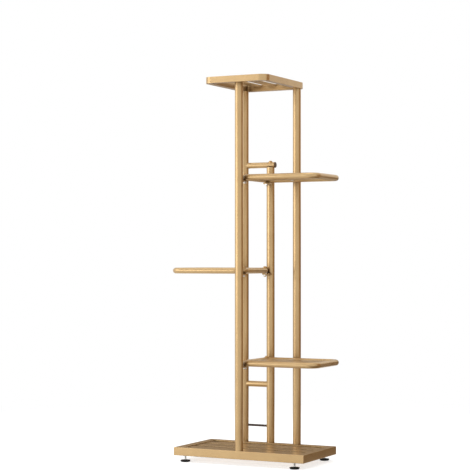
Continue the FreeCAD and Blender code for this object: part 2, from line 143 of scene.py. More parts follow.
# lighter edges, partly wear and partly a painted highlight: how far they reach, between which bends they
# grow, how much shows and its noise
WORN_HIGHLIGHT_RADIUS = 0.9 * MM
WORN_HIGHLIGHT_SAMPLES = 4
WORN_HIGHLIGHT_BEND = (0.96, 0.80)
WORN_HIGHLIGHT_SHARE = 0.55
WORN_HIGHLIGHT_SCALE = 140.0

# openness at which the painted shade of gaps and corners is full and at which it ends: by own faces, and
# by all
OWN_GAP_SHADE_OPENNESS = (0.58, 0.97)
WIDE_GAP_SHADE_OPENNESS = (0.20, 0.82)
GAP_SHADE_REACH = 32.0 * MM
GAP_SHADE_SAMPLES = 6

# sockets of the Mix node when it blends colours
MIX_FACTOR = 0
MIX_FIRST = 6
MIX_SECOND = 7
MIX_RESULT = 2


@dataclass
class Wiring:
    """Adds and links the nodes of one material or world.

    Attributes:
        tree: The node tree.
    """

    tree: bpy.types.NodeTree

    def give(self, node: bpy.types.Node, inputs: dict[str | int, Feed]) -> None:
        """Gives a node its inputs.

        Args:
            node: The node.
            inputs: A link, a colour or a number for each input, by its name or place.
        """
        for key, value in inputs.items():
            if isinstance(value, bpy.types.NodeSocket):
                self.tree.links.new(value, node.inputs[key])
            elif isinstance(value, tuple):
                node.inputs[key].default_value = (*value, 1.0)
            else:
                node.inputs[key].default_value = value

    def add(self, kind: str, inputs: dict[str | int, Feed]) -> bpy.types.Node:
        """Adds a node.

        Args:
            kind: Its type.
            inputs: A link, a colour or a number for each input, by its name or place.

        Returns:
            The new node.
        """
        node = self.tree.nodes.new(kind)
        self.give(node, inputs)
        return node

    def reckon(self, operation: str, *values: Feed) -> bpy.types.NodeSocket:
        """Adds a calculation.

        Args:
            operation: What it does with its numbers.
            values: The numbers or links that it takes.

        Returns:
            Its result.
        """
        node = self.tree.nodes.new("ShaderNodeMath")
        node.operation = operation
        self.give(node, dict(enumerate(values)))
        return node.outputs["Value"]

    def spread(self, value: Feed, source: Span, target: Span = (0.0, 1.0)) -> bpy.types.NodeSocket:
        """Maps one range onto another and stops at its ends.

        Args:
            value: The value to map.
            source: Its range, which may fall.
            target: The range that it gets.

        Returns:
            The mapped value.
        """
        limits = {"From Min": source[0], "From Max": source[1], "To Min": target[0], "To Max": target[1]}
        return self.add("ShaderNodeMapRange", {"Value": value, **limits}).outputs["Result"]

    def noise(self, place: bpy.types.NodeSocket, scale: float, detail: float) -> bpy.types.NodeSocket:
        """Adds a noise texture.

        Args:
            place: The coordinates.
            scale: Noise scale, per metre.
            detail: Octaves.

        Returns:
            The noise value.
        """
        node = self.add("ShaderNodeTexNoise", {"Vector": place, "Scale": scale, "Detail": detail})
        return node.outputs["Fac"]

    def ramp(self, factor: bpy.types.NodeSocket, first: Point, second: Point) -> bpy.types.NodeSocket:
        """Runs from one colour to another over the middle stretch of a noise.

        Args:
            factor: The noise.
            first: Colour below the stretch.
            second: Colour above it.

        Returns:
            The colour.
        """
        node = self.add("ShaderNodeValToRGB", {"Fac": factor})
        for stop, place, colour in zip(node.color_ramp.elements, PATCH_SPREAD, (first, second)):
            stop.position = place
            stop.color = (*colour, 1.0)
        return node.outputs["Color"]

    def blend(self, factor: bpy.types.NodeSocket, first: Feed, second: Feed) -> bpy.types.NodeSocket:
        """Blends two colours.

        Args:
            factor: The share of the second colour.
            first: Colour at 0.
            second: Colour at 1.

        Returns:
            The blended colour.
        """
        node = self.tree.nodes.new("ShaderNodeMix")
        node.data_type = "RGBA"
        self.give(node, {MIX_FACTOR: factor, MIX_FIRST: first, MIX_SECOND: second})
        return node.outputs[MIX_RESULT]

    def seen(self) -> bpy.types.NodeSocket:
        """Tells the rays that show a backdrop from those that only light the object.

        Returns:
            A socket that is 1 for camera, glossy and transmission rays.
        """
        rays = self.tree.nodes.new("ShaderNodeLightPath")
        either = rays.outputs["Is Camera Ray"]
        for kind in ("Is Glossy Ray", "Is Transmission Ray"):
            either = self.reckon("MAXIMUM", either, rays.outputs[kind])
        return either


@dataclass(frozen=True)
class Finish:
    """A surface finish made of shader nodes on Object coordinates.

    Attributes:
        name: Name of the material.
        colour: Base colour, linear RGB.
        tint: Second colour that the first drifts towards in large soft patches.
        metallic: Metallic level.
        roughness: Lowest and highest roughness.
        grain_mm: Size of the fine surface grain, in millimetres.
        bump: Strength of the grain.
        wear_and_highlight: Lighter colour on sharp edges, partly wear and partly a painted highlight, or
            None for neither.
        patch_mm: Size of the soft patches, in millimetres.
        specular: Specular level.
        gap_shade: Colour of the painted shade in narrow gaps and inside corners, or None.
    """

    name: str
    colour: Point
    tint: Point
    metallic: float
    roughness: Span
    grain_mm: float
    bump: float
    wear_and_highlight: Point | None = None
    patch_mm: float = 60.0
    specular: float = 0.5
    gap_shade: Point | None = None

    def build(self) -> bpy.types.Material:
        """Makes the material.

        Returns:
            The new material, ready to assign.
        """
        material = bpy.data.materials.new(self.name)
        material.use_nodes = True
        wires = Wiring(material.node_tree)
        place = wires.add("ShaderNodeTexCoord", {}).outputs["Object"]
        patches = wires.noise(place, 1.0 / (self.patch_mm * MM), PATCH_OCTAVES)
        grain = wires.noise(place, 1.0 / (self.grain_mm * MM), GRAIN_OCTAVES)
        colour = wires.ramp(patches, self.colour, self.tint)
        # lighter edges: partly wear, partly a painted highlight
        if self.wear_and_highlight is not None:
            colour = self._paint_worn_highlit_edges(wires, place, colour)
        # painted shade: a darker colour in narrow gaps and inside corners
        if self.gap_shade is not None:
            colour = self._paint_gap_shade(wires, colour, True, OWN_GAP_SHADE_OPENNESS)
            colour = self._paint_gap_shade(wires, colour, False, WIDE_GAP_SHADE_OPENNESS)
        depth = self.grain_mm * MM * GRAIN_DEPTH
        relief = {"Strength": self.bump, "Distance": depth, "Height": grain}
        looks = {
            "Base Color": colour,
            "Metallic": self.metallic,
            "Roughness": wires.spread(grain, GRAIN_SPREAD, self.roughness),
            "Specular IOR Level": self.specular,
            "Normal": wires.add("ShaderNodeBump", relief).outputs["Normal"],
        }
        wires.give(material.node_tree.nodes["Principled BSDF"], looks)
        return material

    def _paint_gap_shade(
        self, wires: Wiring, colour: bpy.types.NodeSocket, own: bool, openness: Span
    ) -> bpy.types.NodeSocket:
        """Paints shade into narrow gaps and inside corners as a darker colour.

        Args:
            wires: The material's nodes.
            colour: The colour so far.
            own: Whether only the piece's own faces count, as between its slats.
            openness: Openness at which the painted shade is full, and at which it ends.

        Returns:
            The colour with painted shade in its gaps and corners.
        """
        # painted shade from ambient occlusion: the more enclosed a point, the darker its colour
        around = wires.add("ShaderNodeAmbientOcclusion", {"Distance": GAP_SHADE_REACH})
        around.samples = GAP_SHADE_SAMPLES
        around.only_local = own
        return wires.blend(wires.spread(around.outputs["AO"], openness), self.gap_shade, colour)

    def _paint_worn_highlit_edges(
        self, wires: Wiring, place: bpy.types.NodeSocket, colour: bpy.types.NodeSocket
    ) -> bpy.types.NodeSocket:
        """Lets a lighter colour show on sharp edges, partly as wear and partly as a painted highlight.

        Args:
            wires: The material's nodes.
            place: The coordinates.
            colour: The colour so far.

        Returns:
            The colour with lighter edges.
        """
        # partly wear and partly a painted highlight: a lighter colour where the bevelled normal bends
        # away from the face
        bevel = wires.add("ShaderNodeBevel", {"Radius": WORN_HIGHLIGHT_RADIUS})
        bevel.samples = WORN_HIGHLIGHT_SAMPLES
        face = wires.add("ShaderNodeNewGeometry", {}).outputs["True Normal"]
        bend = wires.add("ShaderNodeVectorMath", {0: bevel.outputs["Normal"], 1: face})
        bend.operation = "DOT_PRODUCT"
        edge = wires.spread(bend.outputs["Value"], WORN_HIGHLIGHT_BEND, (0.0, WORN_HIGHLIGHT_SHARE))
        worn_highlight = wires.reckon("MULTIPLY", edge, wires.noise(place, WORN_HIGHLIGHT_SCALE, PATCH_OCTAVES))
        return wires.blend(worn_highlight, colour, self.wear_and_highlight)


GOLD_COAT = Finish(
    "gold_powder_coat",
    colour=(0.61, 0.42, 0.21),
    tint=(0.57, 0.385, 0.19),
    metallic=0.80,
    roughness=(0.27, 0.36),
    grain_mm=0.55,
    bump=0.10,
    # lighter gold on sharp edges: partly wear, partly a painted highlight
    wear_and_highlight=(0.86, 0.66, 0.40),
    # painted shade that darkens the gaps between slats and inside corners
    gap_shade=(0.11, 0.058, 0.022),
)
GOLD_FASTENER = Finish(
    "gold_fastener",
    colour=(0.60, 0.38, 0.17),
    tint=(0.52, 0.32, 0.14),
    metallic=0.85,
    roughness=(0.24, 0.34),
    grain_mm=0.4,
    bump=0.06,
)
# a very dark brown for the thin tie rod
DARK_ROD = Finish(
    "dark_brown_rod",
    colour=(0.045, 0.022, 0.012),
    tint=(0.06, 0.03, 0.016),
    metallic=0.2,
    roughness=(0.35, 0.45),
    grain_mm=0.5,
    bump=0.08,
)
ZINC = Finish(
    "zinc_plate",
    colour=(0.72, 0.72, 0.71),
    tint=(0.60, 0.60, 0.58),
    metallic=1.0,
    roughness=(0.26, 0.42),
    grain_mm=0.8,
    bump=0.05,
    patch_mm=9.0,
)
BLACK_PAD = Finish(
    "black_moulded_pad",
    colour=(0.005, 0.005, 0.005),
    tint=(0.009, 0.009, 0.008),
    metallic=0.0,
    roughness=(0.5, 0.68),
    grain_mm=0.35,
    bump=0.25,
    patch_mm=20.0,
    specular=0.28,
)
BROWN_PLUG = Finish(
    "brown_moulded_plug",
    colour=(0.16, 0.085, 0.035),
    tint=(0.13, 0.07, 0.03),
    metallic=0.0,
    roughness=(0.42, 0.58),
    grain_mm=0.35,
    bump=0.2,
)
FINISHES = {
    "gold_coating": GOLD_COAT,
    "gold_fastener": GOLD_FASTENER,
    "dark_rod": DARK_ROD,
    "zinc_steel": ZINC,
    "black_pad": BLACK_PAD,
    "brown_plug": BROWN_PLUG,
}


@dataclass
class Paintbox:
    """Makes each finish once and hands it out by the record's slot name."""

    made: dict[str, bpy.types.Material] = field(default_factory=dict)

    def get(self, slot: str) -> bpy.types.Material:
        """Gives the material of a slot.

        Args:
            slot: Name of the slot in the record.

        Returns:
            Its material.
        """
        if slot not in self.made:
            self.made[slot] = FINISHES[slot].build()
        return self.made[slot]

    def coat(self, piece: bpy.types.Object, slot: str) -> None:
        """Gives a piece the one material of a slot."""
        piece.data.materials.clear()
        piece.data.materials.append(self.get(slot))


# ------------------------------------------------------------------ bench tools

# a face counts as level when its normal is at least this upright
LEVEL = 0.9


class Bench:
    """The modelling moves that the pieces share."""

    @staticmethod
    def clear() -> None:
        """Deselects every object."""
        if bpy.context.object and bpy.context.object.mode != "OBJECT":
            bpy.ops.object.mode_set(mode="OBJECT")
        bpy.ops.object.select_all(action="DESELECT")

    @staticmethod
    def pick(piece: bpy.types.Object) -> None:
        """Makes one piece the only selected and active one.

        Args:
            piece: The piece to pick.
        """
        Bench.clear()
        piece.select_set(True)
        bpy.context.view_layer.objects.active = piece

    @staticmethod
    def cylinder(radius: float, low: float, high: float, sides: int) -> bpy.types.Object:
        """Adds an upright cylinder about the Z axis.

        Args:
            radius: Radius.
            low: Height of its lower end.
            high: Height of its upper end.
            sides: Number of sides.

        Returns:
            The new piece.
        """
        Bench.clear()
        bpy.ops.mesh.primitive_cylinder_add(
            vertices=sides, radius=radius, depth=high - low, location=(0, 0, (low + high) / 2)
        )
        piece = bpy.context.object
        bpy.ops.object.transform_apply(location=True, rotation=True, scale=True)
        return piece

    @staticmethod
    def select_level(piece: bpy.types.Object, upward: bool) -> None:
        """Enters edit mode with only the level faces of one end selected.

        Args:
            piece: The piece to edit.
            upward: Whether the faces that look up are wanted, or else those that look down.
        """
        side = 1.0 if upward else -1.0
        Bench.pick(piece)
        bpy.ops.object.mode_set(mode="EDIT")
        bpy.ops.mesh.select_mode(type="FACE")
        bpy.ops.mesh.select_all(action="DESELECT")
        bpy.ops.object.mode_set(mode="OBJECT")
        for polygon in piece.data.polygons:
            polygon.select = polygon.normal.z * side > LEVEL
        bpy.ops.object.mode_set(mode="EDIT")

    @staticmethod
    def done() -> None:
        """Goes back to object mode."""
        bpy.ops.object.mode_set(mode="OBJECT")

    @staticmethod
    def join(pieces: Sequence[bpy.types.Object]) -> bpy.types.Object:
        """Joins pieces into the first of them.

        Args:
            pieces: The pieces, the first of which stays.

        Returns:
            The joined piece.
        """
        Bench.clear()
        for piece in pieces:
            piece.select_set(True)
        bpy.context.view_layer.objects.active = pieces[0]
        bpy.ops.object.join()
        return bpy.context.object

    @staticmethod
    def apply(piece: bpy.types.Object, modifier: bpy.types.Modifier) -> None:
        """Applies one modifier."""
        Bench.pick(piece)
        bpy.ops.object.modifier_apply(modifier=modifier.name)

    @staticmethod
    def cut(piece: bpy.types.Object, tool: bpy.types.Object) -> None:
        """Cuts one piece by another, which goes.

        Args:
            piece: The piece that stays.
            tool: The shape that is taken away.
        """
        cut = piece.modifiers.new("cut", "BOOLEAN")
        cut.operation = "DIFFERENCE"
        cut.solver = "EXACT"
        cut.object = tool
        Bench.apply(piece, cut)
        Bench.discard(tool)

    @staticmethod
    def smooth(piece: bpy.types.Object, crease_deg: float) -> None:
        """Shades a piece smooth except at edges sharper than an angle."""
        Bench.pick(piece)
        bpy.ops.object.shade_smooth_by_angle(angle=math.radians(crease_deg))

    @staticmethod
    def above(low: Sequence[float], high: Sequence[float]) -> Matrix:
        """Gives the level move from the Z axis to the middle of a box."""
        return Matrix.Translation(((low[0] + high[0]) / 2, (low[1] + high[1]) / 2, 0.0))

    @staticmethod
    def copy(piece: bpy.types.Object, name: str, place: Matrix) -> bpy.types.Object:
        """Copies a finished piece with its own mesh, moved to a place.

        Args:
            piece: The model to copy, about the origin.
            name: Name of the copy.
            place: Where the copy goes.

        Returns:
            The copy, with its place in its mesh.
        """
        twin = bpy.data.objects.new(name, piece.data.copy())
        twin.data.transform(place)
        bpy.context.scene.collection.objects.link(twin)
        return twin

    @staticmethod
    def discard(piece: bpy.types.Object) -> None:
        """Removes a model that has been copied."""
        bpy.data.objects.remove(piece, do_unlink=True)


@dataclass
class Thread:
    """A helical ridge about the Z axis.

    Attributes:
        root: Radius at the root of the thread.
        crest: Radius at its crest.
        pitch: Rise of one turn.
        steps: Number of steps in one turn.
        sink: How far the foot of the ridge stands inside the root, as a part of its depth.
        half_foot: Half the width of that foot, as a part of the pitch.
    """

    root: float
    crest: float
    pitch: float
    steps: int = 20
    sink: float = 0.3
    half_foot: float = 0.42

    def ridge(self, low: float, turns: int) -> bpy.types.Object:
        """Winds the ridge.

        Args:
            low: Height at which it starts.
            turns: How many turns it makes.

        Returns:
            The ridge, closed at both ends.
        """
        Bench.clear()
        bpy.ops.mesh.primitive_circle_add(vertices=3, radius=self.pitch * 0.5, fill_type="NOTHING")
        piece = bpy.context.object
        foot = self.root - (self.crest - self.root) * self.sink
        corners = (
            (foot, 0.0, low - self.pitch * self.half_foot),
            (self.crest, 0.0, low),
            (foot, 0.0, low + self.pitch * self.half_foot),
        )
        for vertex, corner in zip(piece.data.vertices, corners):
            vertex.co = corner
        screw = piece.modifiers.new("wind", "SCREW")
        screw.axis = "Z"
        screw.angle = math.tau
        screw.screw_offset = self.pitch
        screw.iterations = turns
        screw.steps = self.steps
        screw.render_steps = self.steps
        screw.use_merge_vertices = False
        Bench.apply(piece, screw)
        bpy.ops.object.mode_set(mode="EDIT")
        bpy.ops.mesh.select_all(action="SELECT")
        bpy.ops.mesh.fill_holes(sides=4)
        bpy.ops.mesh.normals_make_consistent(inside=False)
        Bench.done()
        return piece


# ------------------------------------------------------------------ levelling feet


@dataclass
class LevellingStems:
    """The threaded stems of the four levelling feet."""

    paint: Paintbox
    crest: float = 2.98 * MM
    root: float = 2.5 * MM
    pitch: float = 1.0 * MM
    shoulder: float = 9.4 * MM
    chamfer: float = 0.8 * MM
    collar_radius: float = 5.5 * MM
    collar_thickness: float = 2.0 * MM
    sides: int = 40
    crease_deg: float = 30.0

    def build(self) -> list[bpy.types.Object]:
        """Makes one stem and copies it to each corner.

        Returns:
            The four stems.
        """
        low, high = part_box("foot_stem_front_left")
        model = self._model(low[2], high[2])
        stems = []
        for corner in Corner:
            node = "foot_stem_" + corner.value
            first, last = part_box(node)
            stem = Bench.copy(model, "stem_threaded_" + corner.value, Bench.above(first, last))
            self.paint.coat(stem, "zinc_steel")
            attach(stem, "stem_" + corner.value)
            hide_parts(node)
            stems.append(stem)
        Bench.discard(model)
        return stems

    def _model(self, low: float, high: float) -> bpy.types.Object:
        """Makes a stem about the Z axis.

        Args:
            low: Height of the underside of its collar.
            high: Height of its upper end.

        Returns:
            The stem.
        """
        core = Bench.cylinder(self.crest, low, self.shoulder, self.sides)
        Bench.select_level(core, True)
        bpy.ops.mesh.inset(thickness=self.crest - self.root)
        bpy.ops.mesh.extrude_region_move(
            TRANSFORM_OT_translate={"value": (0, 0, high - self.shoulder)}
        )
        bpy.ops.mesh.bevel(offset=self.chamfer, segments=2)
        Bench.done()
        collar = Bench.cylinder(self.collar_radius, low, low + self.collar_thickness, self.sides)
        turns = int((high - self.chamfer - self.shoulder) / self.pitch) - 1
        ridge = Thread(self.root, self.crest, self.pitch).ridge(self.shoulder + self.pitch, turns)
        model = Bench.join([core, collar, ridge])
        Bench.smooth(model, self.crease_deg)
        return model


@dataclass
class FootPads:
    """The moulded pads of the feet: a thin rim, a shallow crown and a neck that holds the stem.

    The cell is the room inside, in which the collar of the stem turns. The crown's rings run from
    the rim up to the neck and the skirt's from the rim down to the sole, each with its inset and rise.
    """

    paint: Paintbox
    radius: float = 15.5 * MM
    rim_low: float = 4.3 * MM
    rim_high: float = 5.0 * MM
    bore: float = 3.05 * MM
    bore_top: float = 12.0 * MM
    cell: float = 5.55 * MM
    cell_low: float = 2.95 * MM
    cell_high: float = 5.05 * MM
    sides: int = 64
    bore_sides: int = 40
    crease_deg: float = 32.0
    crown: tuple[Step, ...] = (
        (0.4 * MM, 0.3 * MM),
        (2.6 * MM, 0.2 * MM),
        (4.6 * MM, 0.25 * MM),
        (2.2 * MM, 0.35 * MM),
        (0.8 * MM, 0.5 * MM),
        (0.4 * MM, 0.4 * MM),
    )
    skirt: tuple[Step, ...] = ((0.35 * MM, 0.5 * MM), (1.7 * MM, 2.9 * MM), (1.0 * MM, 0.9 * MM))

    def build(self) -> list[bpy.types.Object]:
        """Makes one pad and copies it to each corner.

        Returns:
            The four pads.
        """
        model = self._model()
        pads = []
        for corner in Corner:
            node = "foot_pad_" + corner.value
            first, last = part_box(node)
            pad = Bench.copy(model, "pad_moulded_" + corner.value, Bench.above(first, last))
            self.paint.coat(pad, "black_pad")
            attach(pad, "pad_" + corner.value)
            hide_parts(node)
            pads.append(pad)
        Bench.discard(model)
        return pads

    def _rings(self, pad: bpy.types.Object, upward: bool, rings: Sequence[Step]) -> None:
        """Draws one end of the pad in by insets.

        Args:
            pad: The pad so far.
            upward: Whether the top is shaped, or else the sole.
            rings: Inset and rise of each ring.
        """
        Bench.select_level(pad, upward)
        for inset, rise in rings:
            bpy.ops.mesh.inset(thickness=inset, depth=rise)
        Bench.done()

    def _model(self) -> bpy.types.Object:
        """Makes a pad about the Z axis.

        Returns:
            The pad, with its bore and its cell.
        """
        pad = Bench.cylinder(self.radius, self.rim_low, self.rim_high, self.sides)
        self._rings(pad, True, self.crown)
        self._rings(pad, False, self.skirt)
        Bench.cut(pad, Bench.cylinder(self.bore, self.cell_low + MM, self.bore_top, self.bore_sides))
        Bench.cut(pad, Bench.cylinder(self.cell, self.cell_low, self.cell_high, self.bore_sides))
        Bench.smooth(pad, self.crease_deg)
        return pad


# ------------------------------------------------------------------ weld beads


@dataclass(frozen=True)
class SlatEnds:
    """The slat ends of one level, each with a weld seam under it.

    Attributes:
        name: Name of the piece that the seams make.
        ends: Places of the ends, along the slats.
        slats: Places of the slats' middles, across them.
        height: Height of the seams.
        length: Length of each seam.
        along_x: Whether the slats run along X, or else along Y.
    """

    name: str
    ends: tuple[float, ...]
    slats: tuple[float, ...]
    height: float
    length: float
    along_x: bool = True

    def places(self) -> list[Point]:
        """Lists the middles of the seams."""
        xs, ys = (self.ends, self.slats) if self.along_x else (self.slats, self.ends)
        return [(x, y, self.height) for x in xs for y in ys]


@dataclass(frozen=True)
class Joint:
    """A weld seam around a round bar that ends on an upright post.

    Attributes:
        name: Name of its bead.
        post_x: Place of the post's axis along X.
        height: Height of the bar's axis.
        bar: Radius of the bar.
        side: 1 where the bar runs to the right of the post, -1 to the left.
    """

    name: str
    post_x: float
    height: float
    bar: float
    side: int


@dataclass
class WeldBeads:
    """The rippled beads of the welds.

    Attributes:
        paint: Where the finishes come from.
        throat: Radius of a bead.
        thin_share: Part of that radius that a bead keeps on the thinnest bar.
        ripple: Length of one ripple.
        ripple_steps: Number of steps in one ripple.
        ripple_depth: Depth of the ripples, as a part of the bead's radius.
        bead_sides: Number of sides of a bead.
        ring_steps: Number of steps around a bar.
        end_share: Least square of the part of its radius that a bead keeps at its ends.
        crease_deg: Angle past which an edge stays sharp.
        shelf_ends: Places of a side shelf's slat ends, from the middle of the stand.
        shelf_slats: Places of its slats.
        shelf_drop: How far the seams stand under the axis of its tube.
        shelf_seam: Length of its seams.
        base: The slat ends of the base.
        top: The slat ends of the top shelf.
        joints: The bar ends.
    """

    paint: Paintbox
    throat: float = 1.1 * MM
    thin_share: float = 0.6
    ripple: float = 1.8 * MM
    ripple_steps: int = 6
    ripple_depth: float = 0.1
    bead_sides: int = 12
    ring_steps: int = 96
    end_share: float = 0.04
    crease_deg: float = 60.0
    shelf_ends: tuple[float, ...] = (8.7 * MM, 230.8 * MM)
    shelf_slats: tuple[float, ...] = (-48.0 * MM, 0.0, 48.0 * MM)
    shelf_drop: float = 3.0 * MM
    shelf_seam: float = 31.0 * MM
    base: SlatEnds = SlatEnds(
        "weld_base_slats",
        ends=(-192.3 * MM, 192.3 * MM),
        slats=(-60.0 * MM, 0.0, 60.0 * MM),
        height=31.0 * MM,
        length=42.0 * MM,
    )
    top: SlatEnds = SlatEnds(
        "weld_top_shelf_slats",
        ends=(-122.1 * MM, 122.1 * MM),
        slats=(-51.0 * MM, 0.0, 51.0 * MM),
        height=1163.0 * MM,
        length=29.0 * MM,
        along_x=False,
    )
    joints: tuple[Joint, ...] = (
        Joint("weld_rung_upper_left", -SIDE_POST_X, UPPER_RUNG_HEIGHT, RUNG_RADIUS, 1),
        Joint("weld_rung_lower_left", -SIDE_POST_X, LOWER_RUNG_HEIGHT, RUNG_RADIUS, 1),
        Joint("weld_rung_lower_middle", 0.0, LOWER_RUNG_HEIGHT, RUNG_RADIUS, -1),
        Joint("weld_tie_rod_left", -SIDE_POST_X, TIE_ROD_HEIGHT, TIE_ROD_RADIUS, 1),
        Joint("weld_tie_rod_middle", 0.0, TIE_ROD_HEIGHT, TIE_ROD_RADIUS, -1),
    )

    def build(self) -> list[bpy.types.Object]:
        """Makes every bead.

        Returns:
            The beads, one piece for each bar end and each slatted level.
        """
        made = [self._round(joint) for joint in self.joints]
        for level in (self.base, self.top, *map(self._shelf, SHELVES)):
            made.append(self._level(level))
        for bead in made:
            self.paint.coat(bead, "gold_coating")
            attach(bead, "stand")
        return made

    def _shelf(self, shelf: Shelf) -> SlatEnds:
        """Works out the slat ends of a side shelf.

        Args:
            shelf: The shelf.

        Returns:
            Its slat ends.
        """
        ends = tuple(shelf.side * end for end in self.shelf_ends)
        height = shelf.height - self.shelf_drop
        return SlatEnds(
            f"weld_shelf_{shelf.name}_slats", ends, self.shelf_slats, height, self.shelf_seam
        )

    def _round(self, joint: Joint) -> bpy.types.Object:
        """Makes the bead around a bar that ends on a post.

        Args:
            joint: Where it is.

        Returns:
            The bead, bent to the post's round face.
        """
        Bench.clear()
        share = self.thin_share + (1.0 - self.thin_share) * joint.bar / RUNG_RADIUS
        bpy.ops.mesh.primitive_torus_add(
            major_segments=self.ring_steps,
            minor_segments=self.bead_sides,
            major_radius=joint.bar,
            minor_radius=self.throat * share,
            rotation=(0.0, math.pi / 2, 0.0),
        )
        bpy.ops.object.transform_apply(location=True, rotation=True, scale=True)
        bead = bpy.context.object
        bead.name = joint.name
        waves = round(math.tau * joint.bar / self.ripple)
        for vertex in bead.data.vertices:
            _, y, z = vertex.co
            around = math.atan2(z, y)
            swell = 1.0 + self.ripple_depth * math.cos(waves * around)
            size = joint.bar + (math.hypot(y, z) - joint.bar) * swell
            y, z = size * math.cos(around), size * math.sin(around)
            flush = math.sqrt(max(POST_RADIUS**2 - y * y, 0.0))
            vertex.co = (joint.side * flush + vertex.co.x * swell, y, z)
        bead.data.transform(Matrix.Translation((joint.post_x, POST_Y, joint.height)))
        Bench.smooth(bead, self.crease_deg)
        return bead

    def _level(self, level: SlatEnds) -> bpy.types.Object:
        """Makes one seam bead, copies it to the slat ends of a level and joins the copies.

        Args:
            level: Its slat ends.

        Returns:
            The joined beads.
        """
        model = self._string(level.length)
        turn = Matrix.Rotation(math.pi / 2 if level.along_x else 0.0, 4, "Z")
        beads = []
        for number, middle in enumerate(level.places()):
            place = Matrix.Translation(middle) @ turn
            beads.append(Bench.copy(model, f"{level.name}_{number}", place))
        Bench.discard(model)
        joined = Bench.join(beads)
        joined.name = level.name
        Bench.smooth(joined, self.crease_deg)
        return joined

    def _string(self, length: float) -> bpy.types.Object:
        """Makes a straight rippled bead along X.

        Args:
            length: Its length.

        Returns:
            The bead, with rounded ends.
        """
        steps = int(length / (self.ripple / self.ripple_steps))
        Bench.clear()
        bpy.ops.mesh.primitive_circle_add(
            vertices=self.bead_sides, radius=self.throat, fill_type="NGON"
        )
        bead = bpy.context.object
        bead.data.transform(Matrix.Rotation(math.pi / 2, 4, "Y"))
        Bench.pick(bead)
        bpy.ops.object.mode_set(mode="EDIT")
        bpy.ops.mesh.select_all(action="SELECT")
        for _ in range(steps):
            bpy.ops.mesh.extrude_region_move(
                TRANSFORM_OT_translate={"value": (length / steps, 0, 0)}
            )
        bpy.ops.mesh.select_all(action="SELECT")
        bpy.ops.mesh.normals_make_consistent(inside=False)
        Bench.done()
        for vertex in bead.data.vertices:
            x, y, z = vertex.co
            swell = 1.0 - self.ripple_depth + self.ripple_depth * math.cos(math.tau * x / self.ripple)
            near = min(x, length - x) / self.throat
            swell *= math.sqrt(max(1.0 - max(1.0 - near, 0.0) ** 2, self.end_share))
            vertex.co = (x - length / 2, y * swell, z * swell)
        return bead


# ------------------------------------------------------------------ screws


@dataclass(frozen=True)
class ScrewKind:
    """The sizes of a screw.

    Attributes:
        head: Radius of its head.
        height: Height of its head.
        length: Length under its head.
    """

    head: float
    height: float
    length: float


